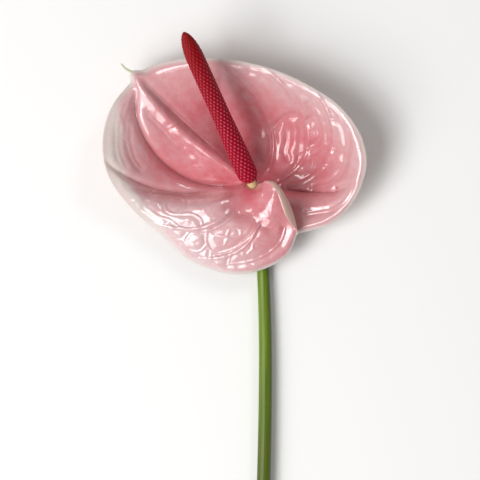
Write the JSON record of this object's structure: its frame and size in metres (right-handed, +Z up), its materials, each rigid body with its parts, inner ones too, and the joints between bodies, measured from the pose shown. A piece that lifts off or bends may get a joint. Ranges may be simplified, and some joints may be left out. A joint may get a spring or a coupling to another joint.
{
  "type": "cut anthurium stem",
  "caption": "Cut anthurium flower on its stem, lying face up: a waxy heart-shaped pink spathe round a deep red floret-covered spadix, on a long green stem.",
  "frame": {"origin": "middle of the underside of the box round the part, on the surface it lies on", "axes": "+Y along the stem from its cut end towards the flower, +Z up out of the face of the flower"},
  "size_m": [0.1208, 0.3646, 0.0492],
  "materials": {
    "spathe": "waxy, pink fading to a pale cream rim",
    "spadix": "satin, deep red with pale pink dots",
    "stem": "satin green"
  },
  "bodies": {
    "root": {"stem": "stem", "spathe": "spathe", "spadix": "spadix"}
  },
  "joints": []
}
